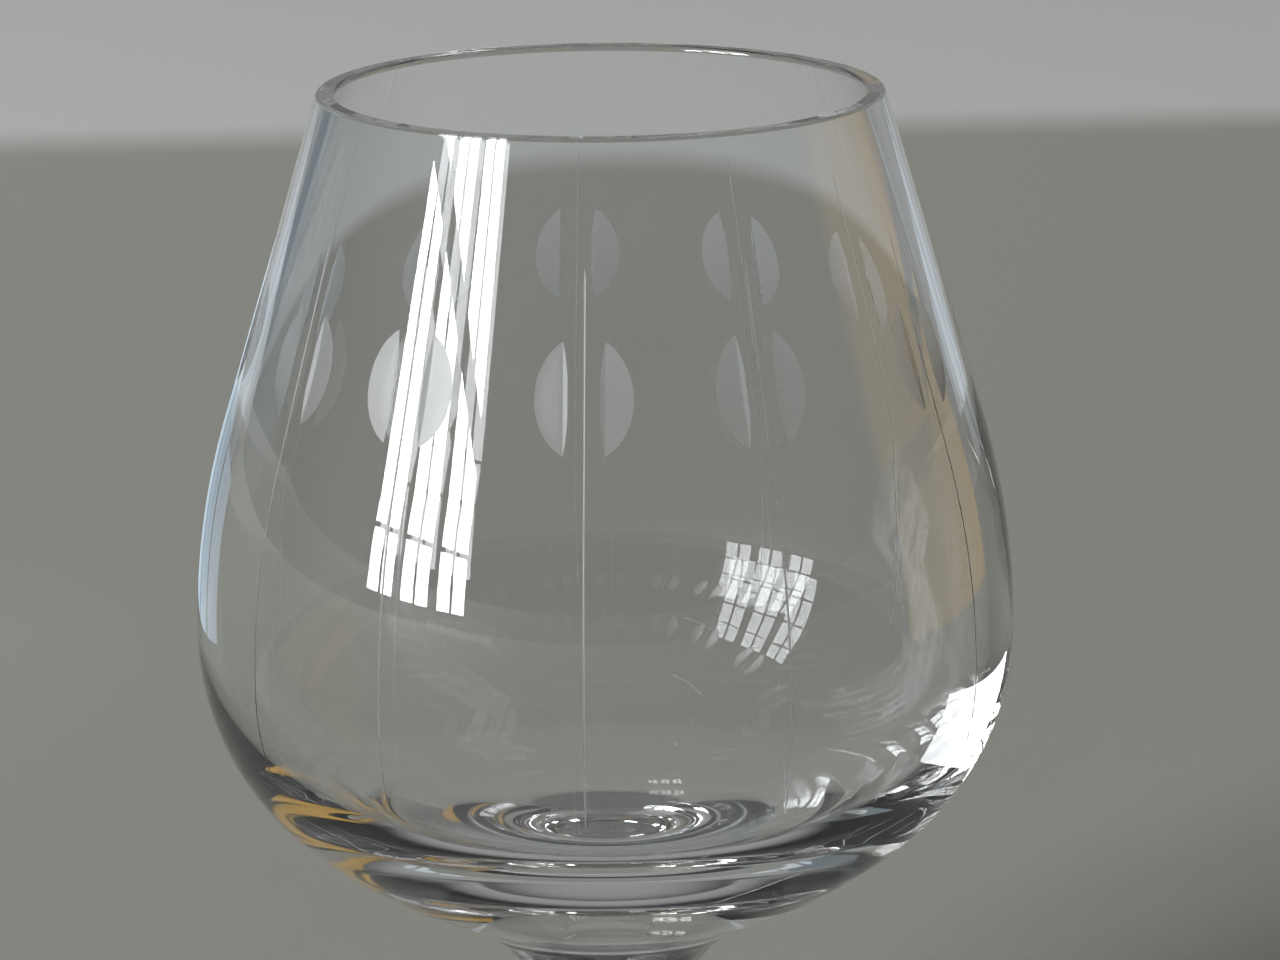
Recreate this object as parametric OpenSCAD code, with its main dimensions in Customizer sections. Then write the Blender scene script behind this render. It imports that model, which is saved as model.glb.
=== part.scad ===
// Cognac glass: a cut crystal bowl, a short waisted stem and a round foot, fused end to end.
// The origin is the middle of the circle that the foot stands on, and +Z runs up the axis.

/* [Bowl] */
// Widest outer diameter of the bowl
bowl_d = 86; // [80:0.5:92]
// Outer diameter of the mouth, where the outer wall's line meets the top
mouth_d = 58.5; // [54:0.5:63]
// Height of the rim above the widest point
upper_h = 57; // [54:0.5:62]
// Depth of the rounded bottom below the widest point
lower_h = 33.6; // [31:0.2:36]
// Radius of the shoulder arc that joins the straight wall to the widest point
shoulder_r = 78; // [65:1:90]
// Radius of the belly arc below the widest point
belly_r = 27.7; // [25:0.1:29]

/* [Bowl wall] */
// Thickness of the wall at the rim
rim_t = 2; // [1.6:0.05:2.4]
// Degrees by which the inner face of the straight wall leans in more than the outer one, so that the rim is its thickest part
rim_swell = 0.45; // [0.3:0.05:0.6]
// Radius of the rim's two rounded edges, beside its flat top
rim_round = 0.5; // [0.3:0.05:0.7]
// Thickness of the wall at the widest point
belly_t = 2.35; // [2.1:0.05:2.6]
// Thickness of the solid bottom on the axis
base_t = 11.8; // [9:0.2:14]
// Depth of the shallow dish in the inside bottom
dish_h = 1.6; // [0.8:0.1:3]

/* [Stem] */
// Diameter of the stem's waist
stem_d = 12; // [10:0.2:14]
// Length of the straight waist
waist_h = 7; // [3:0.5:30]
// Radius of the hollow curve from the waist up to the bowl
upper_flare_r = 21.5; // [16:0.5:26]
// Degrees of the upper curve, from the waist up, that belong to the stem
upper_weld_angle = 35; // [25:1:45]
// Radius of the hollow curve from the waist down to the foot
lower_flare_r = 12; // [9:0.5:15]
// Degrees of the lower curve, from the waist down, that belong to the stem
lower_weld_angle = 45; // [30:1:60]

/* [Foot] */
// Diameter of the foot
foot_d = 68; // [60:0.5:76]
// Thickness of the foot's rounded edge
foot_edge_t = 2.2; // [1.8:0.1:3]
// Slope of the foot's upper face in degrees
foot_slope = 9; // [6:0.5:12]
// Diameter of the shallow hollow under the foot
hollow_d = 48; // [40:0.5:54]
// Depth of that hollow in the middle
hollow_h = 1; // [0.5:0.1:1.5]

/* [Half-moon cuts] */
// Number of cut motifs round the bowl
motif_count = 12; // [6:1:12]
// Share of the hand-set unevenness in the spacing, from even to fully uneven
hand_spacing = 1; // [0:0.1:1]
// Depth of each motif's middle below the rim
motif_drop = 24.3; // [22:0.1:27]
// Radius of the grinding wheel that cuts the half-moons
wheel_r = 55; // [45:1:65]
// Depth of the cut below the wall at the motif's middle
cut_depth = 0.31; // [0.22:0.01:0.38]
// Width of the uncut strip between two half-moons
strip_w = 3.2; // [2.4:0.1:4]
// Width of each of the wheel's two lands
land_w = 4.2; // [3.8:0.1:5]
// Bevel along the inner edge of each land
land_bevel = 0.4; // [0.3:0.05:0.6]

/* [Line cuts] */
// Width of the fine upright line in the middle of each strip
line_w = 0.35; // [0.25:0.05:0.6]
// Depth of the fine line
line_depth = 0.18; // [0.1:0.02:0.3]
// Depth of the line's upper end below the rim
line_top_drop = 13.5; // [8:0.5:16]
// Depth of the line's lower end below the widest point
line_low_drop = 8; // [4:0.5:12]
// Radius of the thin wheel that cuts the line and leaves its tapered ends
line_wheel_r = 30; // [20:1:40]

/* [Hidden] */

$fn = 180;
large_fn = 720;

// Degrees by which each motif leaves its even place, set by eye at the cutter's bench
hand_offsets = [-3, -5, 1, 3.5, 6.5, 4, 4.5, 1, 2, 3.5, 4.5, -1.5];
// The first motif faces -Y
front_angle = -90;
// How far cutters stand clear of the glass
cutter_margin = 3;
// How far the sliver under an arc reaches inside its chord
chord_lap = 0.05;
// How far a tighter curve stands proud of its neighbour, so that tangent curves cross instead of touch
skin = 0.003;
// Degrees by which a tighter arc runs on inside its neighbour
lap_angle = 3;

// Foot and lower flare, upwards from the standing plane
bowl_r = bowl_d / 2;
stem_r = stem_d / 2;
foot_edge_r = foot_edge_t / 2;
foot_edge_c = [foot_d / 2 - foot_edge_r, foot_edge_r];
foot_edge_top = along(foot_edge_c, foot_edge_r, 90 - foot_slope);
foot_flare_x = stem_r + lower_flare_r * (1 - sin(foot_slope));
foot_flare_z = foot_edge_top[1] + (foot_edge_top[0] - foot_flare_x) * tan(foot_slope);
lower_flare_c = [stem_r + lower_flare_r, foot_flare_z + lower_flare_r * cos(foot_slope)];
lower_weld = along(lower_flare_c, lower_flare_r, 180 + lower_weld_angle);
hollow_r = (pow(hollow_d / 2, 2) + pow(hollow_h, 2)) / (2 * hollow_h);

// Waist and upper flare
upper_flare_c = [stem_r + upper_flare_r, lower_flare_c[1] + waist_h];
upper_weld = along(upper_flare_c, upper_flare_r, 180 - upper_weld_angle);

// Outer bowl: a spherical bottom, the belly arc, the shoulder arc and a straight wall
belly_angle = 90 - 2 * atan((lower_h - belly_r) / (bowl_r - belly_r));
bottom_r = belly_r + (bowl_r - belly_r) / cos(belly_angle);
bottom_c = [0, upper_flare_c[1] + sqrt(pow(bottom_r + upper_flare_r, 2) - pow(upper_flare_c[0], 2))];
widest_z = bottom_c[1] - (bottom_r - belly_r) * sin(belly_angle);
rim_z = widest_z + upper_h;
belly_c = [bowl_r - belly_r, widest_z];
shoulder_c = [bowl_r - shoulder_r, widest_z];
mouth_v = [mouth_d / 2 - shoulder_c[0], upper_h];
wall_angle = atan2(mouth_v[1], mouth_v[0]) - acos(shoulder_r / norm(mouth_v));
upper_flare_angle = atan2(upper_flare_c[1] - bottom_c[1], upper_flare_c[0]);

// Inner bowl: the same chain of curves, tied to the wall thicknesses
inner_r = bowl_r - belly_t;
inner_wall_angle = wall_angle + rim_swell;
rim_c = wall_point(rim_z - rim_t / 2, rim_t / 2);
rim_v = rim_c - [inner_r, widest_z];
inner_shoulder_r = (rim_v[0] * cos(inner_wall_angle) + rim_v[1] * sin(inner_wall_angle) - rim_t / 2)
    / (1 - cos(inner_wall_angle));
inner_shoulder_c = [inner_r - inner_shoulder_r, widest_z];
inner_h = lower_h - base_t;
inner_belly_r = inner_h - dish_h;
inner_belly_c = [inner_r - inner_belly_r, widest_z];
inner_angle = 90 - 2 * atan(dish_h / (inner_r - inner_belly_r));
inner_bottom_r = inner_belly_r + (inner_r - inner_belly_r) / cos(inner_angle);
inner_bottom_c = [0, widest_z - inner_h + inner_bottom_r];

// Rim: a flat top between two rounded edges, which run into the two straight walls
rim_half = rim_t / 2 - rim_round;
rim_out_c = rim_c + rim_half * [(1 - sin(wall_angle)) / cos(wall_angle), 1];
rim_in_c = rim_c + rim_half * [-(1 + sin(inner_wall_angle)) / cos(inner_wall_angle), 1];
rim_out = along(rim_out_c, rim_round, wall_angle);
rim_in = along(rim_in_c, rim_round, 180 + inner_wall_angle);

// Point at an angle on a circle in the section plane
function along(c, r, a) = c + r * [cos(a), sin(a)];

// Point at height z that lies a depth inside the outer face of the straight wall
function wall_point(z, depth) =
    [mouth_d / 2 + (rim_z - z) * tan(wall_angle) - depth / cos(wall_angle), z];

// Bearing of one motif round the axis
function motif_angle(i) =
    front_angle + i * 360 / motif_count
    + hand_spacing * hand_offsets[i] * len(hand_offsets) / motif_count;

// The sliver between a chord and its arc from angle a0 to angle a1, with a strip inside the chord
module arc_segment(c, r, a0, a1) {
    reach = r / cos((a1 - a0) / 2) + cutter_margin;
    intersection() {
        translate(c) circle(r, $fn = large_fn);
        polygon([
            along(c, r - chord_lap, a0),
            along(c, r - chord_lap, a1),
            along(c, reach, a1),
            along(c, reach, a0)
        ]);
    }
}

// Circle in the section plane that is proud of its tangent neighbours
module proud_circle(c, r) {
    translate(c) circle(r + skin, $fn = large_fn);
}

// Half section of the glass inside the bowl's outer skin, down to the weld with the stem
module outer_section() {
    difference() {
        union() {
            polygon([
                [0, upper_weld[1]],
                upper_weld,
                along(bottom_c, bottom_r, upper_flare_angle),
                along(bottom_c, bottom_r, -belly_angle),
                along(belly_c, belly_r, 0),
                along(shoulder_c, shoulder_r, wall_angle),
                rim_out,
                rim_out_c,
                [rim_out_c[0], rim_z],
                [0, rim_z]
            ]);
            arc_segment(bottom_c, bottom_r, upper_flare_angle - lap_angle, -belly_angle);
            arc_segment(belly_c, belly_r + 2 * skin, -belly_angle - lap_angle, lap_angle);
            arc_segment(shoulder_c, shoulder_r + skin, 0, wall_angle + lap_angle);
        }
        proud_circle(upper_flare_c, upper_flare_r);
    }
}

// Half section of the hollow inside the bowl
module inner_section() {
    polygon([
        along(inner_bottom_c, inner_bottom_r - chord_lap, -90),
        along(inner_bottom_c, inner_bottom_r, -inner_angle),
        along(inner_belly_c, inner_belly_r, 0),
        along(inner_shoulder_c, inner_shoulder_r, inner_wall_angle),
        rim_in,
        rim_in_c,
        [rim_in_c[0], rim_z + cutter_margin],
        [0, rim_z + cutter_margin]
    ]);
    arc_segment(inner_bottom_c, inner_bottom_r, -90 - lap_angle, -inner_angle);
    arc_segment(inner_belly_c, inner_belly_r + 2 * skin, -inner_angle - lap_angle, lap_angle);
    arc_segment(inner_shoulder_c, inner_shoulder_r + skin, 0, inner_wall_angle + lap_angle);
}

// One land of the grinding wheel, lying on its axis, with the bevelled edge towards the strip
module wheel_land() {
    near = strip_w / 2;
    far = near + land_bevel + land_w;
    rotate_extrude($fn = large_fn)
        polygon([
            [0, near],
            [wheel_r - land_bevel, near],
            [wheel_r, near + land_bevel],
            [wheel_r, far],
            [0, far]
        ]);
}

// Both lands of the wheel, pressed into the wall at the motif's height
module half_moons() {
    wheel_c = along(wall_point(rim_z - motif_drop, cut_depth), wheel_r, wall_angle);
    translate([wheel_c[0], 0, wheel_c[1]])
        for (side = [-90, 90])
            rotate([side, 0, 0]) wheel_land();
}

// Section of the fine line: a floor that follows the wall at the line's depth, and a run-out at each end
module line_section() {
    low_angle = -asin(line_low_drop / belly_r);
    top = wall_point(rim_z - line_top_drop, line_depth);
    low = along(belly_c, belly_r - line_depth, low_angle);
    difference() {
        polygon([
            top,
            along(shoulder_c, shoulder_r - line_depth, wall_angle),
            along(belly_c, belly_r - line_depth, 0),
            low,
            along(low, cutter_margin, low_angle),
            [bowl_r + cutter_margin, widest_z],
            along(top, cutter_margin, wall_angle)
        ]);
        arc_segment(shoulder_c, shoulder_r - line_depth + skin, 0, wall_angle + lap_angle);
        arc_segment(belly_c, belly_r - line_depth + 2 * skin, low_angle - lap_angle, lap_angle);
    }
    proud_circle(along(top, line_wheel_r, wall_angle), line_wheel_r);
    proud_circle(along(low, line_wheel_r, low_angle), line_wheel_r);
}

// The thin blade that cuts one fine line
module line_cut() {
    rotate([90, 0, 0]) linear_extrude(line_w, center = true) line_section();
}

// Bowl with its cut motifs
module bowl() {
    color("lightsteelblue", 0.45)
        difference() {
            rotate_extrude() {
                intersection() {
                    difference() {
                        outer_section();
                        inner_section();
                    }
                    square([bowl_d, 2 * rim_z]);
                }
                proud_circle(rim_out_c, rim_round);
                proud_circle(rim_in_c, rim_round);
            }
            for (i = [0 : motif_count - 1])
                rotate([0, 0, motif_angle(i)]) {
                    half_moons();
                    line_cut();
                }
        }
}

// Stem between the two welds
module stem() {
    color("lightsteelblue", 0.45)
        rotate_extrude()
            difference() {
                polygon([
                    [0, lower_weld[1]],
                    lower_weld,
                    [stem_r, lower_flare_c[1]],
                    [stem_r, upper_flare_c[1]],
                    upper_weld,
                    [0, upper_weld[1]]
                ]);
                proud_circle(lower_flare_c, lower_flare_r);
                proud_circle(upper_flare_c, upper_flare_r);
            }
}

// Foot with its rounded edge and the shallow hollow that leaves a ring to stand on
module foot() {
    color("lightsteelblue", 0.45)
        rotate_extrude()
            difference() {
                union() {
                    polygon([
                        [0, 0],
                        [foot_edge_c[0], 0],
                        foot_edge_c,
                        foot_edge_top,
                        [foot_flare_x, foot_flare_z],
                        lower_weld,
                        [0, lower_weld[1]]
                    ]);
                    proud_circle(foot_edge_c, foot_edge_r);
                }
                proud_circle(lower_flare_c, lower_flare_r);
                translate([0, hollow_h - hollow_r]) circle(hollow_r, $fn = large_fn);
                translate([0, -cutter_margin]) square([foot_d, cutter_margin]);
            }
}

bowl();
stem();
foot();
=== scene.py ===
"""Cognac glass: the looks of its cut crystal bowl, stem and foot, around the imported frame."""

import logging
import math
from collections.abc import Iterable, Sequence
from dataclasses import dataclass, field
from enum import IntEnum

import bmesh
import bpy
import numpy as np
from mathutils import Matrix, Vector


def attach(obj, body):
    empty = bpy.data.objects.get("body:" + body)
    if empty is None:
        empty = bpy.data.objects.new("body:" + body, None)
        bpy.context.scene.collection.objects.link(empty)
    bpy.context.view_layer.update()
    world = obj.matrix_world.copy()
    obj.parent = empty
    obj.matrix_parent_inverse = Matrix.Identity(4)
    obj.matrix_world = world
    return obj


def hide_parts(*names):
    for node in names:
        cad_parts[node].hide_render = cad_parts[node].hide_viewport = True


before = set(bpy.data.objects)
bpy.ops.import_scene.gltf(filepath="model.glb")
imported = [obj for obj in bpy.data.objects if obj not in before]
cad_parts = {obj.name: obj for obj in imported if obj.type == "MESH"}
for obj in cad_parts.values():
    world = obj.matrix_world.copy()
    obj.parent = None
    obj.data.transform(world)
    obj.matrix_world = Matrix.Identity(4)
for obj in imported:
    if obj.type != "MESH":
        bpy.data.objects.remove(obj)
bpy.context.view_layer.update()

LOG = logging.getLogger("cognac_glass")
BODY = "root"
MM = 0.001
FEWEST_STEPS = 4

Point = tuple[float, float]
Colour = tuple[float, float, float]


class Zone(IntEnum):
    """The finish of a face of the glass, which is also its material slot."""

    CLEAR = 0
    MATTE = 1
    LINE = 2
    WELD = 3


def along(centre: Point, radius: float, angle: float) -> Point:
    """Finds a point on a circle in the section plane.

    Args:
        centre: Radius and height of the circle's centre.
        radius: The circle's radius.
        angle: Degrees from the outward direction, turning upwards.

    Returns:
        Radius and height of the point.
    """
    turn = math.radians(angle)
    return centre[0] + radius * math.cos(turn), centre[1] + radius * math.sin(turn)


@dataclass(frozen=True)
class Arc:
    """A round stretch of a section, run through with the glass on its right."""

    centre: Point
    radius: float
    start: float
    end: float

    def points(self, pitch: float) -> list[Point]:
        """Samples the arc.

        Args:
            pitch: Longest step along the arc.

        Returns:
            The points from start to end, both included.
        """
        sweep = self.end - self.start
        steps = math.ceil(abs(math.radians(sweep)) * self.radius / pitch)
        steps = max(FEWEST_STEPS, steps)
        return [
            along(self.centre, self.radius, self.start + sweep * k / steps)
            for k in range(steps + 1)
        ]

    def offset(self, r: np.ndarray, z: np.ndarray) -> np.ndarray:
        """Measures how far points lie from the arc.

        Args:
            r: Radii of the points.
            z: Heights of the points.

        Returns:
            Their distances, large outside the arc's span.
        """
        dr, dz = r - self.centre[0], z - self.centre[1]
        low, high = sorted((self.start, self.end))
        # A slack of a few millimetres along the arc, in degrees
        slack = 180 / self.radius * MM
        turn = (np.degrees(np.arctan2(dz, dr)) - low + slack) % 360
        outside = turn > high - low + 2 * slack
        return np.abs(np.hypot(dr, dz) - self.radius) + outside

    def normals(self, r: np.ndarray, z: np.ndarray) -> np.ndarray:
        """Finds the directions out of the glass.

        Args:
            r: Radii of points on the arc.
            z: Heights of those points.

        Returns:
            One unit vector in the section plane for each point.
        """
        away = np.stack([r - self.centre[0], z - self.centre[1]], axis=1)
        away /= np.linalg.norm(away, axis=1, keepdims=True)
        return away if self.end < self.start else -away


@dataclass(frozen=True)
class Straight:
    """A straight stretch of a section, run through with the glass on its right."""

    start: Point
    end: Point

    def points(self, pitch: float) -> list[Point]:
        """Samples the line.

        Args:
            pitch: Longest step along the line.

        Returns:
            The points from start to end, both included.
        """
        steps = max(1, math.ceil(math.dist(self.start, self.end) / pitch))
        ends = np.array([self.start, self.end])
        return [tuple(ends[0] + (ends[1] - ends[0]) * k / steps) for k in range(steps + 1)]

    def offset(self, r: np.ndarray, z: np.ndarray) -> np.ndarray:
        """Measures how far points lie from the line.

        Args:
            r: Radii of the points.
            z: Heights of the points.

        Returns:
            Their distances from the stretch between its ends.
        """
        start, end = np.array(self.start), np.array(self.end)
        way = end - start
        share = ((r - start[0]) * way[0] + (z - start[1]) * way[1]) / (way @ way)
        share = np.clip(share, 0, 1)
        return np.hypot(r - start[0] - share * way[0], z - start[1] - share * way[1])

    def normals(self, r: np.ndarray, z: np.ndarray) -> np.ndarray:
        """Finds the directions out of the glass.

        Args:
            r: Radii of points on the line.
            z: Heights of those points.

        Returns:
            One unit vector in the section plane for each point.
        """
        way = np.subtract(self.end, self.start)
        out = np.array([-way[1], way[0]]) / np.linalg.norm(way)
        return np.tile(out, (len(r), 1))


Stretch = Arc | Straight


@dataclass(frozen=True)
class GlassSizes:
    """Driving sizes of the glass, and the curves of its section that follow from them."""

    bowl_d: float = 86 * MM
    mouth_d: float = 58.5 * MM
    upper_h: float = 57 * MM
    lower_h: float = 33.6 * MM
    shoulder_r: float = 78 * MM
    belly_r: float = 27.7 * MM
    rim_t: float = 2 * MM
    rim_swell: float = 0.45
    rim_round: float = 0.5 * MM
    belly_t: float = 2.35 * MM
    base_t: float = 11.8 * MM
    dish_h: float = 1.6 * MM
    stem_d: float = 12 * MM
    waist_h: float = 7 * MM
    upper_flare_r: float = 21.5 * MM
    upper_weld: float = 35
    lower_flare_r: float = 12 * MM
    lower_weld: float = 45
    foot_d: float = 68 * MM
    foot_edge_t: float = 2.2 * MM
    foot_slope: float = 9
    hollow_d: float = 48 * MM
    hollow_h: float = 1 * MM

    @property
    def stem_r(self) -> float:
        """Radius of the waist."""
        return self.stem_d / 2

    @property
    def bowl_r(self) -> float:
        """Widest radius of the bowl."""
        return self.bowl_d / 2

    @property
    def foot_edge_c(self) -> Point:
        """Centre of the foot's rounded edge."""
        return self.foot_d / 2 - self.foot_edge_t / 2, self.foot_edge_t / 2

    @property
    def lower_flare_c(self) -> Point:
        """Centre of the curve from the waist down to the foot."""
        slope = math.radians(self.foot_slope)
        edge = along(self.foot_edge_c, self.foot_edge_t / 2, 90 - self.foot_slope)
        flare_x = self.stem_r + self.lower_flare_r * (1 - math.sin(slope))
        flare_z = edge[1] + (edge[0] - flare_x) * math.tan(slope)
        return self.stem_r + self.lower_flare_r, flare_z + self.lower_flare_r * math.cos(slope)

    @property
    def upper_flare_c(self) -> Point:
        """Centre of the curve from the waist up to the bowl."""
        return self.stem_r + self.upper_flare_r, self.lower_flare_c[1] + self.waist_h

    @property
    def belly_angle(self) -> float:
        """Degrees below the widest point at which the belly meets the round bottom."""
        return 90 - 2 * math.degrees(
            math.atan((self.lower_h - self.belly_r) / (self.bowl_r - self.belly_r))
        )

    @property
    def bottom_r(self) -> float:
        """Radius of the bowl's round bottom."""
        reach = (self.bowl_r - self.belly_r) / math.cos(math.radians(self.belly_angle))
        return self.belly_r + reach

    @property
    def bottom_c(self) -> Point:
        """Centre of the bowl's round bottom."""
        x, z = self.upper_flare_c
        return 0.0, z + math.sqrt((self.bottom_r + self.upper_flare_r) ** 2 - x**2)

    @property
    def flare_angle(self) -> float:
        """Degrees from the bottom's centre at which the round bottom meets the upper flare."""
        return math.degrees(
            math.atan2(self.upper_flare_c[1] - self.bottom_c[1], self.upper_flare_c[0])
        )

    @property
    def widest_z(self) -> float:
        """Height of the widest point."""
        rise = (self.bottom_r - self.belly_r) * math.sin(math.radians(self.belly_angle))
        return self.bottom_c[1] - rise

    @property
    def rim_z(self) -> float:
        """Height of the rim."""
        return self.widest_z + self.upper_h

    @property
    def shoulder_c(self) -> Point:
        """Centre of the shoulder arc."""
        return self.bowl_r - self.shoulder_r, self.widest_z

    @property
    def belly_c(self) -> Point:
        """Centre of the belly arc."""
        return self.bowl_r - self.belly_r, self.widest_z

    @property
    def wall_angle(self) -> float:
        """Degrees by which the straight wall leans inwards."""
        mouth = (self.mouth_d / 2 - self.shoulder_c[0], self.upper_h)
        lean = math.atan2(mouth[1], mouth[0]) - math.acos(self.shoulder_r / math.hypot(*mouth))
        return math.degrees(lean)

    @property
    def inner_angle(self) -> float:
        """Degrees by which the hollow's straight wall leans inwards, more than the outer one."""
        return self.wall_angle + self.rim_swell

    @property
    def rim_c(self) -> Point:
        """Middle of the wall, half its thickness below the rim."""
        return self.wall_point(self.rim_z - self.rim_t / 2, self.rim_t / 2)

    @property
    def rim_out_c(self) -> Point:
        """Centre of the rim's outer rounded edge."""
        half, lean = self.rim_t / 2 - self.rim_round, math.radians(self.wall_angle)
        return self.rim_c[0] + half * (1 - math.sin(lean)) / math.cos(lean), self.rim_c[1] + half

    @property
    def rim_in_c(self) -> Point:
        """Centre of the rim's inner rounded edge."""
        half, lean = self.rim_t / 2 - self.rim_round, math.radians(self.inner_angle)
        return self.rim_c[0] - half * (1 + math.sin(lean)) / math.cos(lean), self.rim_c[1] + half

    def wall_point(self, height: float, depth: float) -> Point:
        """Finds a point under the outer face of the straight wall.

        Args:
            height: Height of the point.
            depth: Its depth below the face.

        Returns:
            Radius and height of the point.
        """
        lean = math.radians(self.wall_angle)
        radius = self.mouth_d / 2 + (self.rim_z - height) * math.tan(lean)
        return radius - depth / math.cos(lean), height

    def inner_section(self) -> list[Stretch]:
        """Lists the stretches of the hollow, from the axis up to the rim."""
        lean = math.radians(self.inner_angle)
        widest_r = self.bowl_r - self.belly_t
        across = (self.rim_c[0] - widest_r) * math.cos(lean)
        up = (self.rim_c[1] - self.widest_z) * math.sin(lean)
        shoulder_r = (across + up - self.rim_t / 2) / (1 - math.cos(lean))
        shoulder_c = (widest_r - shoulder_r, self.widest_z)
        depth = self.lower_h - self.base_t
        belly_r = depth - self.dish_h
        belly_c = (widest_r - belly_r, self.widest_z)
        angle = 90 - 2 * math.degrees(math.atan(self.dish_h / (widest_r - belly_r)))
        bottom_r = belly_r + (widest_r - belly_r) / math.cos(math.radians(angle))
        bottom_c = (0.0, self.widest_z - depth + bottom_r)
        return [
            Arc(bottom_c, bottom_r, -90, -angle),
            Arc(belly_c, belly_r, -angle, 0),
            Arc(shoulder_c, shoulder_r, 0, self.inner_angle),
            Straight(
                along(shoulder_c, shoulder_r, self.inner_angle),
                along(self.rim_in_c, self.rim_round, 180 + self.inner_angle),
            ),
        ]

    def rim_section(self) -> list[Stretch]:
        """Lists the stretches of the rim, from its inner edge over the flat top to the outer."""
        return [
            Arc(self.rim_in_c, self.rim_round, 180 + self.inner_angle, 90),
            Straight(
                along(self.rim_in_c, self.rim_round, 90), along(self.rim_out_c, self.rim_round, 90)
            ),
            Arc(self.rim_out_c, self.rim_round, 90, self.wall_angle),
        ]

    def outer_section(self) -> list[Stretch]:
        """Lists the stretches of the bowl's outside, from the rim to the round bottom's end."""
        return [
            Straight(
                along(self.rim_out_c, self.rim_round, self.wall_angle),
                along(self.shoulder_c, self.shoulder_r, self.wall_angle),
            ),
            Arc(self.shoulder_c, self.shoulder_r, self.wall_angle, 0),
            Arc(self.belly_c, self.belly_r, 0, -self.belly_angle),
            Arc(self.bottom_c, self.bottom_r, -self.belly_angle, self.flare_angle),
        ]


@dataclass(frozen=True)
class CutSizes:
    """Sizes of the wheel cuts, and how they are set round the bowl."""

    count: int = 12
    front: float = -90
    hand_offsets: tuple[float, ...] = (-3, -5, 1, 3.5, 6.5, 4, 4.5, 1, 2, 3.5, 4.5, -1.5)
    drop: float = 24.3 * MM
    wheel_r: float = 62 * MM
    depth: float = 0.31 * MM
    strip_w: float = 3.2 * MM
    land_w: float = 4.15 * MM
    bevel_w: float = 0.45 * MM
    bevel_h: float = 0.24 * MM
    land_h: float = 2.5 * MM
    wheel_sweep: float = 9
    wheel_steps: int = 48
    line_w: float = 0.22 * MM
    line_depth: float = 0.042 * MM
    line_top: float = 13.5 * MM
    line_low: float = 8 * MM
    line_wheel_r: float = 30 * MM
    clear: float = 0.08 * MM
    blade_h: float = 0.25 * MM
    pitch: float = 0.8 * MM

    def bearings(self) -> list[float]:
        """Lists the bearing of each motif in degrees."""
        return [
            self.front + 360 * k / self.count + offset
            for k, offset in enumerate(self.hand_offsets)
        ]


def new_object(name: str, data: bpy.types.Mesh | bpy.types.Camera) -> bpy.types.Object:
    """Puts a mesh or a camera into the scene.

    Args:
        name: Name of the new object.
        data: Its mesh or its camera data.

    Returns:
        The object.
    """
    made = bpy.data.objects.new(name, data)
    bpy.context.scene.collection.objects.link(made)
    return made


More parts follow.
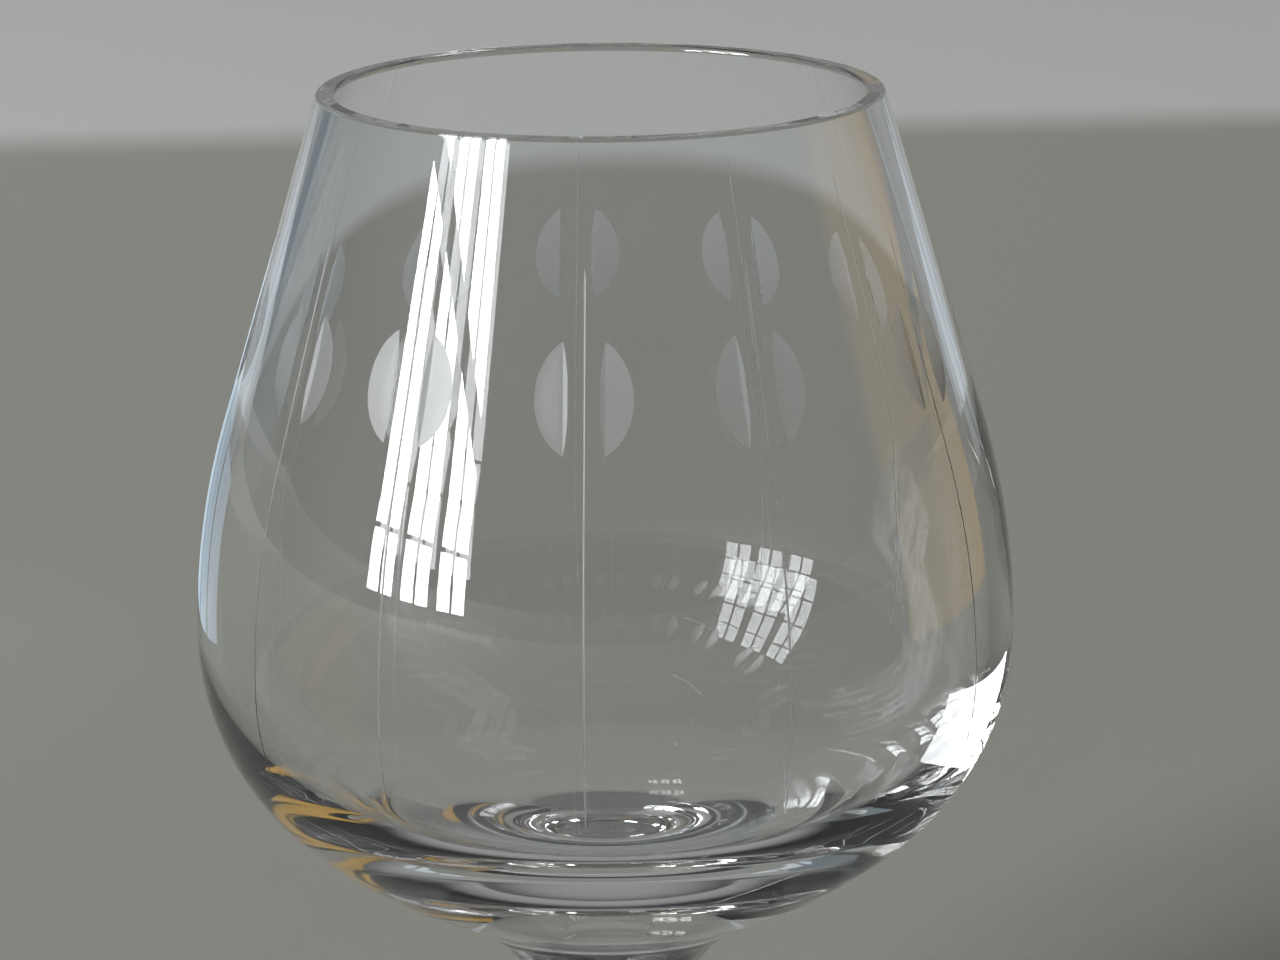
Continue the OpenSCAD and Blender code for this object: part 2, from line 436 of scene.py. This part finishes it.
class Cutters:
    """The wheels and blades that cut the motifs, joined into one cutting mesh."""

    def __init__(self, glass: GlassSizes, cuts: CutSizes) -> None:
        """Keeps the sizes that the cutters follow."""
        self.glass = glass
        self.cuts = cuts
        self.bm = bmesh.new()

    def sweep(self, rings: Sequence[Sequence[Vector]], zone: Zone) -> None:
        """Adds a closed solid through rings of points.

        Args:
            rings: Rings of the same number of points, one behind the other.
            zone: The finish that the solid leaves in the glass.
        """
        rows = [[self.bm.verts.new(point) for point in ring] for ring in rings]
        size = len(rows[0])
        faces = [self.bm.faces.new(rows[0][::-1]), self.bm.faces.new(rows[-1])]
        for near, far in zip(rows, rows[1:]):
            for k in range(size):
                j = (k + 1) % size
                faces.append(self.bm.faces.new((near[k], near[j], far[j], far[k])))
        for face in faces:
            face.material_index = zone

    def place(self, point: Point, side: float, bearing: float) -> Vector:
        """Turns a point of the section plane to a bearing.

        Args:
            point: Radius and height.
            side: Distance to the left of the section plane.
            bearing: Degrees round the axis.

        Returns:
            The point in the glass's frame.
        """
        flat = Vector((point[0], side, point[1]))
        return Matrix.Rotation(math.radians(bearing), 3, "Z") @ flat

    def add_wheel(self, bearing: float) -> None:
        """Adds the two lands of the grinding wheel at a bearing."""
        cuts, lean = self.cuts, self.glass.wall_angle
        contact = self.glass.wall_point(self.glass.rim_z - cuts.drop, cuts.depth)
        centre = along(contact, cuts.wheel_r, lean)
        near = cuts.strip_w / 2
        far = near + cuts.bevel_w + cuts.land_w
        land = [
            (cuts.wheel_r - cuts.land_h, near),
            (cuts.wheel_r - cuts.bevel_h, near),
            (cuts.wheel_r, near + cuts.bevel_w),
            (cuts.wheel_r, far),
            (cuts.wheel_r - cuts.land_h, far),
        ]
        turns = np.linspace(-cuts.wheel_sweep, cuts.wheel_sweep, cuts.wheel_steps + 1)
        for hand in (-1, 1):
            self.sweep(
                [
                    [
                        self.place(along(centre, radius, 180 + lean + turn), hand * side, bearing)
                        for radius, side in land
                    ]
                    for turn in turns
                ],
                Zone.MATTE,
            )

    def line_stations(self) -> list[tuple[Point, Point, float]]:
        """Lists the stations of the fine line: point on the wall, direction out of it, depth."""
        glass, cuts = self.glass, self.cuts
        run_out = math.sqrt(2 * cuts.line_wheel_r * (cuts.line_depth + cuts.clear))
        lean = math.radians(glass.wall_angle)
        low = math.degrees(math.asin(cuts.line_low / glass.belly_r))
        reach = low + math.degrees(run_out / glass.belly_r)
        top = glass.wall_point(glass.rim_z - cuts.line_top + run_out * math.cos(lean), 0)
        way: list[Stretch] = [
            Straight(top, along(glass.shoulder_c, glass.shoulder_r, glass.wall_angle)),
            Arc(glass.shoulder_c, glass.shoulder_r, glass.wall_angle, 0),
            Arc(glass.belly_c, glass.belly_r, 0, -reach),
        ]
        points: list[Point] = []
        outs: list[Point] = []
        for stretch in way:
            steps = stretch.points(cuts.pitch)[1 if points else 0 :]
            r, z = np.array(steps).T
            points += steps
            outs += [tuple(out) for out in stretch.normals(r, z)]
        gaps = [math.dist(a, b) for a, b in zip(points, points[1:])]
        marks = np.concatenate([[0.0], np.cumsum(gaps)])
        over = np.maximum(run_out - np.minimum(marks, marks[-1] - marks), 0)
        depths = cuts.line_depth - over**2 / (2 * cuts.line_wheel_r)
        return list(zip(points, outs, depths))

    def add_line(self, bearing: float) -> None:
        """Adds the V-shaped blade of the fine line at a bearing."""
        flank = self.cuts.line_w / 2 / self.cuts.line_depth
        rings = []
        for point, out, depth in self.line_stations():
            apex = tuple(np.array(point) - depth * np.array(out))
            back = tuple(np.array(point) + self.cuts.blade_h * np.array(out))
            half = (depth + self.cuts.blade_h) * flank
            rings.append(
                [
                    self.place(apex, 0, bearing),
                    self.place(back, half, bearing),
                    self.place(back, -half, bearing),
                ]
            )
        self.sweep(rings, Zone.LINE)

    def build(self) -> bpy.types.Object:
        """Makes the cutting object of all motifs.

        Returns:
            The object, which is taken away once the bowl is cut.
        """
        for bearing in self.cuts.bearings():
            self.add_wheel(bearing)
            self.add_line(bearing)
        bmesh.ops.recalc_face_normals(self.bm, faces=self.bm.faces)
        mesh = bpy.data.meshes.new("cutters")
        self.bm.to_mesh(mesh)
        self.bm.free()
        return new_object("cutters", mesh)


@dataclass
class Turned:
    """A turned piece of the glass: a section spun round the axis, with exact shading normals.

    The phase keeps the meridians of the mesh off the edges of the cuts, which lie near whole and
    half degrees.
    """

    name: str
    section: list[Stretch]
    weld_heights: tuple[float, ...]
    segments: int = 360
    phase: float = math.radians(0.25)
    pitch: float = 0.95 * MM
    flat_angle: float = math.radians(25)
    close: float = 0.5 * MM / 1000

    def outline(self) -> list[Point]:
        """Lists the section's points in order, with the weld discs drawn in to the axis."""
        points: list[Point] = []
        for stretch in self.section:
            points += stretch.points(self.pitch)[1 if points else 0 :]
        for height in self.weld_heights:
            if abs(points[0][1] - height) < self.close:
                points.insert(0, (0.0, height))
            else:
                points.append((0.0, height))
        return points

    def spin(self) -> bpy.types.Mesh:
        """Spins the outline into a closed mesh.

        Returns:
            The mesh, with its weld discs in their own zone.
        """
        turns = np.linspace(0, 2 * math.pi, self.segments, endpoint=False) + self.phase
        bm = bmesh.new()
        rows = []
        for r, z in self.outline():
            if r < self.close:
                rows.append([bm.verts.new((0, 0, z))])
            else:
                ring = [(r * math.cos(t), r * math.sin(t), z) for t in turns]
                rows.append([bm.verts.new(co) for co in ring])
        for upper, lower in zip(rows, rows[1:]):
            for k in range(self.segments):
                j = (k + 1) % self.segments
                corners = [upper[k % len(upper)], upper[j % len(upper)]]
                corners += [lower[j % len(lower)], lower[k % len(lower)]]
                face = bm.faces.new(dict.fromkeys(corners))
                face.smooth = True
                heights = {round(v.co.z / self.close) for v in face.verts}
                if len(heights) == 1 and len(face.verts) == 3:
                    face.material_index = Zone.WELD
        bmesh.ops.recalc_face_normals(bm, faces=bm.faces)
        mesh = bpy.data.meshes.new(self.name)
        bm.to_mesh(mesh)
        bm.free()
        return mesh

    def part_zones(self, mesh: bpy.types.Mesh) -> None:
        """Takes out edges without length, and marks those between zones and of cuts as sharp."""
        bm = bmesh.new()
        bm.from_mesh(mesh)
        bmesh.ops.dissolve_degenerate(bm, dist=self.close, edges=bm.edges)
        for edge in bm.edges:
            zones = {face.material_index for face in edge.link_faces}
            cut = zones != {Zone.CLEAR} and edge.calc_face_angle(0) > self.flat_angle
            edge.smooth = len(zones) == 1 and not cut
        for face in bm.faces:
            face.smooth = True
        bm.to_mesh(mesh)
        bm.free()

    def exact_normals(self, mesh: bpy.types.Mesh) -> None:
        """Gives the clear faces the section's exact normals, whatever the cuts left of them."""
        co = np.empty(len(mesh.vertices) * 3)
        mesh.vertices.foreach_get("co", co)
        co = co.reshape(-1, 3)
        r = np.hypot(co[:, 0], co[:, 1])
        offsets = np.stack([stretch.offset(r, co[:, 2]) for stretch in self.section])
        nearest = offsets.argmin(axis=0)
        flat = np.zeros((len(co), 2))
        for k, stretch in enumerate(self.section):
            own = nearest == k
            flat[own] = stretch.normals(r[own], co[own, 2])
        round_r = np.maximum(r, self.close)
        spun = np.stack(
            [flat[:, 0] * co[:, 0] / round_r, flat[:, 0] * co[:, 1] / round_r, flat[:, 1]], axis=1
        )
        corner = np.empty(len(mesh.loops), dtype=np.int64)
        mesh.loops.foreach_get("vertex_index", corner)
        zones = np.empty(len(mesh.polygons), dtype=np.int64)
        mesh.polygons.foreach_get("material_index", zones)
        sizes = np.empty(len(mesh.polygons), dtype=np.int64)
        mesh.polygons.foreach_get("loop_total", sizes)
        normals = spun[corner]
        normals[np.repeat(zones, sizes) != Zone.CLEAR] = 0
        mesh.normals_split_custom_set(normals.tolist())

    def build(self, finishes: Sequence[bpy.types.Material]) -> bpy.types.Object:
        """Makes the piece and puts it in the place of its node.

        Args:
            finishes: The materials, in the order of the zones.

        Returns:
            The piece.
        """
        piece = new_object(f"crystal_{self.name}", self.spin())
        for finish in finishes:
            piece.data.materials.append(finish)
        self.cut(piece)
        self.part_zones(piece.data)
        self.exact_normals(piece.data)
        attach(piece, BODY)
        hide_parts(self.name)
        return piece

    def cut(self, piece: bpy.types.Object) -> None:
        """Cuts the piece; a plain turned piece has no cuts."""


@dataclass
class CutBowl(Turned):
    """The bowl, with its wheel-cut motifs."""

    glass: GlassSizes = field(default_factory=GlassSizes)
    cuts: CutSizes = field(default_factory=CutSizes)

    def cut(self, piece: bpy.types.Object) -> None:
        """Takes the wheels and blades out of the bowl."""
        cutters = Cutters(self.glass, self.cuts).build()
        for finish in piece.data.materials:
            cutters.data.materials.append(finish)
        modifier = piece.modifiers.new("cuts", "BOOLEAN")
        modifier.operation = "DIFFERENCE"
        modifier.solver = "MANIFOLD"
        modifier.object = cutters
        graph = bpy.context.evaluated_depsgraph_get()
        mesh = bpy.data.meshes.new_from_object(piece.evaluated_get(graph))
        mesh.name = self.name
        piece.modifiers.clear()
        piece.data = mesh
        bpy.data.objects.remove(cutters)


def bowl_of(glass: GlassSizes) -> CutBowl:
    """Lays out the bowl's section, from the middle of the hollow over the rim to the weld."""
    flare = Arc(
        glass.upper_flare_c, glass.upper_flare_r, 180 + glass.flare_angle, 180 - glass.upper_weld
    )
    section = [*glass.inner_section(), *glass.rim_section(), *glass.outer_section(), flare]
    weld = along(glass.upper_flare_c, glass.upper_flare_r, 180 - glass.upper_weld)
    return CutBowl("bowl", section, (weld[1],), glass=glass)


def stem_of(glass: GlassSizes) -> Turned:
    """Lays out the stem's section, from the upper weld down to the lower one."""
    upper = Arc(glass.upper_flare_c, glass.upper_flare_r, 180 - glass.upper_weld, 180)
    lower = Arc(glass.lower_flare_c, glass.lower_flare_r, 180, 180 + glass.lower_weld)
    waist = Straight(
        (glass.stem_r, glass.upper_flare_c[1]), (glass.stem_r, glass.lower_flare_c[1])
    )
    ends = (
        along(upper.centre, upper.radius, upper.start)[1],
        along(lower.centre, lower.radius, lower.end)[1],
    )
    return Turned("stem", [upper, waist, lower], ends)


def foot_of(glass: GlassSizes) -> Turned:
    """Lays out the foot's section, from the weld over the edge to the hollow underneath."""
    flare = Arc(
        glass.lower_flare_c, glass.lower_flare_r, 180 + glass.lower_weld, 270 - glass.foot_slope
    )
    edge = Arc(glass.foot_edge_c, glass.foot_edge_t / 2, 90 - glass.foot_slope, -90)
    slope = Straight(
        along(flare.centre, flare.radius, flare.end), along(edge.centre, edge.radius, edge.start)
    )
    ring = Straight((glass.foot_edge_c[0], 0.0), (glass.hollow_d / 2, 0.0))
    hollow_r = ((glass.hollow_d / 2) ** 2 + glass.hollow_h**2) / (2 * glass.hollow_h)
    brim = math.degrees(math.acos(glass.hollow_d / 2 / hollow_r))
    hollow = Arc((0.0, glass.hollow_h - hollow_r), hollow_r, brim, 90)
    weld = along(flare.centre, flare.radius, flare.start)
    return Turned("foot", [flare, slope, edge, ring, hollow], (weld[1],))


class Nodes:
    """A material's or group's node tree, with short ways to add and join nodes."""

    def __init__(self, tree: bpy.types.NodeTree) -> None:
        """Keeps the tree."""
        self.tree = tree

    def add(self, kind: str, **settings: object) -> bpy.types.Node:
        """Adds a node.

        Args:
            kind: Blender's name of the node.
            settings: Properties of the node, or values of its inputs by socket name.

        Returns:
            The node.
        """
        node = self.tree.nodes.new(kind)
        for key, value in settings.items():
            name = key.replace("_", " ").title()
            if name in node.inputs:
                node.inputs[name].default_value = value
            else:
                setattr(node, key, value)
        return node

    def join(self, source: bpy.types.NodeSocket, target: bpy.types.NodeSocket) -> None:
        """Links two sockets."""
        self.tree.links.new(source, target)


class SurfaceMarks:
    """A shared effect of handled glass: faint smears on the polish, and a fine unevenness."""

    NAME = "surface_marks"
    SMEAR_SCALE = 90.0
    SMEAR_DETAIL = 3.0
    SMEAR_WARP = 0.6
    SMEAR_FROM = 0.56
    SMEAR_FULL = 0.8
    GRAIN_DETAIL = 2.0

    @classmethod
    def group(cls) -> bpy.types.NodeTree:
        """Builds the group once.

        Returns:
            The group, with inputs Polish, Smear and Grain, and outputs Roughness and Height.
        """
        made = bpy.data.node_groups.get(cls.NAME)
        if made:
            return made
        tree = bpy.data.node_groups.new(cls.NAME, "ShaderNodeTree")
        for name in ("Polish", "Smear", "Grain"):
            tree.interface.new_socket(name, in_out="INPUT", socket_type="NodeSocketFloat")
        for name in ("Roughness", "Height"):
            tree.interface.new_socket(name, in_out="OUTPUT", socket_type="NodeSocketFloat")
        nodes = Nodes(tree)
        inside = nodes.add("NodeGroupInput")
        outside = nodes.add("NodeGroupOutput")
        place = nodes.add("ShaderNodeTexCoord")
        smear = nodes.add(
            "ShaderNodeTexNoise",
            scale=cls.SMEAR_SCALE,
            detail=cls.SMEAR_DETAIL,
            distortion=cls.SMEAR_WARP,
        )
        mask = nodes.add("ShaderNodeMapRange", from_min=cls.SMEAR_FROM, from_max=cls.SMEAR_FULL)
        grain = nodes.add("ShaderNodeTexNoise", detail=cls.GRAIN_DETAIL)
        spread = nodes.add("ShaderNodeMath", operation="MULTIPLY_ADD")
        nodes.join(place.outputs["Object"], smear.inputs["Vector"])
        nodes.join(place.outputs["Object"], grain.inputs["Vector"])
        nodes.join(inside.outputs["Grain"], grain.inputs["Scale"])
        nodes.join(smear.outputs["Fac"], mask.inputs["Value"])
        nodes.join(mask.outputs["Result"], spread.inputs[0])
        nodes.join(inside.outputs["Smear"], spread.inputs[1])
        nodes.join(inside.outputs["Polish"], spread.inputs[2])
        nodes.join(spread.outputs["Value"], outside.inputs["Roughness"])
        nodes.join(grain.outputs["Fac"], outside.inputs["Height"])
        return tree


@dataclass(frozen=True)
class Crystal:
    """A finish of the crystal, from polished to ground."""

    name: str
    colour: Colour
    transmission: float
    polish: float
    smear: float
    grain: float
    grain_height: float
    ior: float = 1.53

    def make(self) -> bpy.types.Material:
        """Makes the material.

        Returns:
            The material, with constants on the shader and only the varying marks linked.
        """
        material = bpy.data.materials.new(self.name)
        material.use_nodes = True
        nodes = Nodes(material.node_tree)
        shader = material.node_tree.nodes["Principled BSDF"]
        shader.inputs["Base Color"].default_value = (*self.colour, 1)
        shader.inputs["IOR"].default_value = self.ior
        shader.inputs["Transmission Weight"].default_value = self.transmission
        marks = nodes.add("ShaderNodeGroup", node_tree=SurfaceMarks.group())
        marks.inputs["Polish"].default_value = self.polish
        marks.inputs["Smear"].default_value = self.smear
        marks.inputs["Grain"].default_value = self.grain
        bump = nodes.add("ShaderNodeBump", distance=self.grain_height, strength=1.0)
        nodes.join(marks.outputs["Roughness"], shader.inputs["Roughness"])
        nodes.join(marks.outputs["Height"], bump.inputs["Height"])
        nodes.join(bump.outputs["Normal"], shader.inputs["Normal"])
        return material


POLISHED = Crystal(
    name="polished_crystal",
    colour=(0.985, 0.992, 1.0),
    transmission=1.0,
    polish=0.0,
    smear=0.02,
    grain=60.0,
    grain_height=0.002 * MM,
)
GROUND = Crystal(
    name="ground_half_moon",
    colour=(0.965, 0.98, 0.995),
    transmission=0.98,
    polish=0.5,
    smear=0.08,
    grain=9000.0,
    grain_height=0.02 * MM,
)
SCORED = Crystal(
    name="scored_line",
    colour=(0.93, 0.95, 0.97),
    transmission=1.0,
    polish=0.45,
    smear=0.1,
    grain=9000.0,
    grain_height=0.01 * MM,
)


def single_shader(name: str, kind: str, **settings: object) -> bpy.types.Material:
    """Makes a material of one plain shader.

    Args:
        name: Name of the material.
        kind: Blender's name of the shader node.
        settings: Values of the shader's inputs.

    Returns:
        The material.
    """
    material = bpy.data.materials.new(name)
    material.use_nodes = True
    nodes = Nodes(material.node_tree)
    output = material.node_tree.nodes["Material Output"]
    material.node_tree.nodes.remove(material.node_tree.nodes["Principled BSDF"])
    shader = nodes.add(kind, **settings)
    nodes.join(shader.outputs[0], output.inputs["Surface"])
    return material


def fused_weld() -> bpy.types.Material:
    """Makes the finish of the weld discs, which can't be seen where the pieces are fused."""
    return single_shader("fused_weld", "ShaderNodeBsdfTransparent")


@dataclass(frozen=True)
class Floor:
    """The plain floor, darker towards the camera by painted shade, and paler far behind the glass.
    """

    half: float = 2.4
    below: float = 0.1 * MM
    # The near tones darken the floor towards the camera as painted shade; the last two make the
    # paler far band.
    tones_with_shade: tuple[tuple[float, Colour], ...] = (
        (-0.1, (0.328, 0.328, 0.292)),
        (0.682, (0.419, 0.421, 0.374)),
        (0.718, (0.72, 0.737, 0.716)),
        (1.1, (0.733, 0.749, 0.729)),
    )
    edge_skew: float = -0.07
    roughness: float = 0.9
    shine: float = 0.2

    def build(self) -> bpy.types.Object:
        """Makes the floor.

        Returns:
            The floor.
        """
        h = self.half
        mesh = bpy.data.meshes.new("floor")
        corners = [(-h, -h, -self.below), (h, -h, -self.below), (h, h, -self.below)]
        mesh.from_pydata([*corners, (-h, h, -self.below)], [], [(0, 1, 2, 3)])
        mesh.materials.append(self.material())
        floor = new_object("floor", mesh)
        return floor

    def material(self) -> bpy.types.Material:
        """Makes the floor's matt finish, which fades to the paler colour with distance, its darker
        near tones being painted shade.
        """
        material = bpy.data.materials.new("matt_floor")
        material.use_nodes = True
        nodes = Nodes(material.node_tree)
        shader = material.node_tree.nodes["Principled BSDF"]
        shader.inputs["Roughness"].default_value = self.roughness
        shader.inputs["Specular IOR Level"].default_value = self.shine
        place = nodes.add("ShaderNodeNewGeometry")
        split = nodes.add("ShaderNodeSeparateXYZ")
        skew = nodes.add("ShaderNodeMath", operation="MULTIPLY_ADD")
        skew.inputs[1].default_value = self.edge_skew
        start, end = self.tones_with_shade[0][0], self.tones_with_shade[-1][0]
        depth = nodes.add("ShaderNodeMapRange", from_min=start, from_max=end)
        ramp = nodes.add("ShaderNodeValToRGB")
        stops = ramp.color_ramp.elements
        # A new stop starts in the middle and then moves to the place of its tone
        while len(stops) < len(self.tones_with_shade):
            stops.new(0.5)
        for stop, (y, tone) in zip(stops, self.tones_with_shade):
            stop.position = (y - start) / (end - start)
            stop.color = (*tone, 1)
        nodes.join(place.outputs["Position"], split.inputs["Vector"])
        nodes.join(split.outputs["X"], skew.inputs[0])
        nodes.join(split.outputs["Y"], skew.inputs[2])
        nodes.join(skew.outputs["Value"], depth.inputs["Value"])
        nodes.join(depth.outputs["Result"], ramp.inputs["Fac"])
        nodes.join(ramp.outputs["Color"], shader.inputs["Base Color"])
        return material


@dataclass(frozen=True)
class LightBox:
    """A soft light, parted by posts and thin bars into panes.

    The camera never sees it. With lights_floor it lights matt surfaces, with seen_through it shows
    through the glass, and with neither it shows only in reflections.
    """

    name: str
    left: Point
    right: Point
    bottom: float
    top: float
    strength: float
    sections: int = 3
    columns: int = 2
    rows: int = 4
    post: float = 0.25
    bar: float = 0.07
    colour: Colour = (1.0, 1.0, 1.0)
    lights_floor: bool = True
    seen_through: bool = True

    def spans(self, length: float) -> list[Point]:
        """Parts the width into the panes between posts and bars.

        Args:
            length: Width of the whole light.

        Returns:
            Start and end of each pane along the width.
        """
        section = (length - self.post * (self.sections - 1)) / self.sections
        pane = (section - self.bar * (self.columns - 1)) / self.columns
        starts = [
            k * (section + self.post) + j * (pane + self.bar)
            for k in range(self.sections)
            for j in range(self.columns)
        ]
        return [(start, start + pane) for start in starts]

    def build(self) -> bpy.types.Object:
        """Makes the light's panes.

        Returns:
            The light, with the rays that see it set.
        """
        start, end = Vector((*self.left, 0)), Vector((*self.right, 0))
        across = (end - start).normalized()
        step = (self.top - self.bottom + self.bar) / self.rows
        verts: list[Vector] = []
        faces: list[tuple[int, ...]] = []
        for x0, x1 in self.spans((end - start).length):
            for row in range(self.rows):
                z0 = self.bottom + row * step
                z1 = z0 + step - self.bar
                faces.append(tuple(range(len(verts), len(verts) + 4)))
                for x, z in ((x0, z0), (x1, z0), (x1, z1), (x0, z1)):
                    verts.append(start + across * x + Vector((0, 0, z)))
        mesh = bpy.data.meshes.new(self.name)
        mesh.from_pydata(verts, [], faces)
        mesh.materials.append(self.material())
        box = new_object(self.name, mesh)
        box.visible_camera = False
        box.visible_diffuse = self.lights_floor
        box.visible_shadow = self.lights_floor
        box.visible_transmission = self.seen_through
        return box

    def material(self) -> bpy.types.Material:
        """Makes the light's plain emission."""
        return single_shader(
            self.name, "ShaderNodeEmission", color=(*self.colour, 1), strength=self.strength
        )


@dataclass(frozen=True)
class Card(LightBox):
    """A plain bright card, in one piece unless it is parted into sections."""

    sections: int = 1
    columns: int = 1
    rows: int = 1


WARM: Colour = (1.0, 0.61, 0.14)
KEY_LIGHT = LightBox(
    name="key_light",
    left=(-4.85, -1.84),
    right=(-3.27, -4.02),
    bottom=0.15,
    top=3.35,
    strength=34.0,
    colour=(0.97, 0.985, 1.0),
)
COOL_CARD = Card(
    name="cool_card",
    left=(-1.5, 2.6),
    right=(-2.6, 1.5),
    bottom=0.0,
    top=0.8,
    strength=0.2,
    colour=(0.75, 0.9, 1.0),
)
WARM_CARD = Card(
    name="warm_card",
    left=(3.0, 0.0),
    right=(2.2, 2.0),
    bottom=0.25,
    top=1.3,
    strength=0.42,
    colour=WARM,
)
WARM_FOOT = Card(
    name="warm_foot",
    left=(0.493, -0.0136),
    right=(0.37, 0.297),
    bottom=0.0,
    top=0.123,
    strength=0.75,
    colour=WARM,
    lights_floor=False,
    seen_through=False,
)
EDGE_CARDS = tuple(
    Card(
        name=f"{side}_edge_card",
        left=(hand * 0.611, 0.728),
        right=(hand * 0.371, 0.875),
        bottom=0.0,
        top=0.075,
        strength=0.6,
        sections=3,
        post=0.02,
        colour=(0.85, 0.94, 1.0),
    )
    for side, hand in (("left", -1), ("right", 1))
)
NEAR_CARD = Card(
    name="near_card",
    left=(-0.223, 0.2),
    right=(-0.088, 0.287),
    bottom=0.0,
    top=0.068,
    strength=1.15,
    sections=3,
    post=0.005,
    colour=(0.7, 0.86, 1.0),
    lights_floor=False,
    seen_through=False,
)
LOW_CARD = Card(
    name="low_card",
    left=(0.1045, 0.0025),
    right=(0.078, 0.0664),
    bottom=0.014,
    top=0.0475,
    strength=7.0,
    colour=(0.93, 0.98, 1.0),
    lights_floor=False,
    seen_through=False,
)
LIGHTS = (
    KEY_LIGHT,
    COOL_CARD,
    WARM_CARD,
    WARM_FOOT,
    NEAR_CARD,
    LOW_CARD,
    *EDGE_CARDS,
)


@dataclass(frozen=True)
class Surroundings:
    """The dim studio round the glass, lighter behind it and overhead."""

    sides: Colour = (0.01, 0.0105, 0.013)
    behind: Colour = (0.3, 0.305, 0.305)
    overhead: Colour = (0.05, 0.05, 0.053)
    behind_from: float = 0.55
    behind_to: float = 0.85
    overhead_from: float = 0.72
    overhead_to: float = 0.95
    light_paths: int = 32

    def blend(
        self, nodes: Nodes, axis: bpy.types.NodeSocket, start: float, end: float
    ) -> bpy.types.Node:
        """Adds a soft blend of two colours along an axis of the view direction.

        Args:
            nodes: The world's nodes.
            axis: The component of the direction.
            start: Value at which the second colour starts.
            end: Value from which it is pure.

        Returns:
            The mix node, with its colours still to be set or linked.
        """
        fade = nodes.add("ShaderNodeMapRange", interpolation_type="SMOOTHSTEP")
        fade.inputs["From Min"].default_value = start
        fade.inputs["From Max"].default_value = end
        mix = nodes.add("ShaderNodeMixRGB")
        nodes.join(axis, fade.inputs["Value"])
        nodes.join(fade.outputs["Result"], mix.inputs["Fac"])
        return mix

    def build(self) -> None:
        """Makes the world, and lets light reflect inside the glass as often as crystal needs."""
        world = bpy.data.worlds.new("surroundings")
        bpy.context.scene.world = world
        world.use_nodes = True
        nodes = Nodes(world.node_tree)
        place = nodes.add("ShaderNodeTexCoord")
        split = nodes.add("ShaderNodeSeparateXYZ")
        nodes.join(place.outputs["Generated"], split.inputs["Vector"])
        level = self.blend(nodes, split.outputs["Y"], self.behind_from, self.behind_to)
        level.inputs["Color1"].default_value = (*self.sides, 1)
        level.inputs["Color2"].default_value = (*self.behind, 1)
        dome = self.blend(nodes, split.outputs["Z"], self.overhead_from, self.overhead_to)
        dome.inputs["Color2"].default_value = (*self.overhead, 1)
        nodes.join(level.outputs["Color"], dome.inputs["Color1"])
        nodes.join(dome.outputs["Color"], world.node_tree.nodes["Background"].inputs["Color"])
        cycles = bpy.context.scene.cycles
        cycles.max_bounces = self.light_paths
        cycles.glossy_bounces = self.light_paths
        cycles.transmission_bounces = self.light_paths


@dataclass(frozen=True)
class PhotoCamera:
    """The camera, at the photograph's distance, height and angle."""

    distance: float = 500 * MM
    above_rim: float = 85.6 * MM
    pitch: float = 14.28
    roll: float = 0.465
    focal_px: float = 4914
    image_w: float = 1280
    axis_px: float = 603.3
    sensor: float = 36

    def build(self, rim_z: float) -> bpy.types.Object:
        """Makes the camera and sets it as the scene's.

        Args:
            rim_z: Height of the glass's rim.

        Returns:
            The camera.
        """
        data = bpy.data.cameras.new("camera")
        data.sensor_width = self.sensor
        data.lens = self.focal_px * self.sensor / self.image_w
        camera = new_object("camera", data)
        yaw = math.atan((self.axis_px - self.image_w / 2) / self.focal_px)
        turn = Matrix.Rotation(yaw, 4, "Z")
        turn @= Matrix.Rotation(math.radians(90 - self.pitch), 4, "X")
        turn @= Matrix.Rotation(math.radians(-self.roll), 4, "Z")
        place = Matrix.Translation((0, -self.distance, rim_z + self.above_rim))
        camera.matrix_world = place @ turn
        bpy.context.scene.camera = camera
        return camera


def report(pieces: Iterable[bpy.types.Object]) -> None:
    """Logs each piece with the size of its mesh."""
    for piece in pieces:
        LOG.info("%s: %d faces", piece.name, len(piece.data.polygons))


def main() -> None:
    """Builds the glass, its finishes, the studio and the camera."""
    logging.basicConfig(level=logging.INFO)
    bpy.context.scene.view_settings.view_transform = "Standard"
    glass = GlassSizes()
    finishes = [POLISHED.make(), GROUND.make(), SCORED.make(), fused_weld()]
    pieces = [part.build(finishes) for part in (bowl_of(glass), stem_of(glass), foot_of(glass))]
    report(pieces)
    Floor().build()
    for light in LIGHTS:
        light.build()
    Surroundings().build()
    PhotoCamera().build(glass.rim_z)


if __name__ == "__main__":
    main()
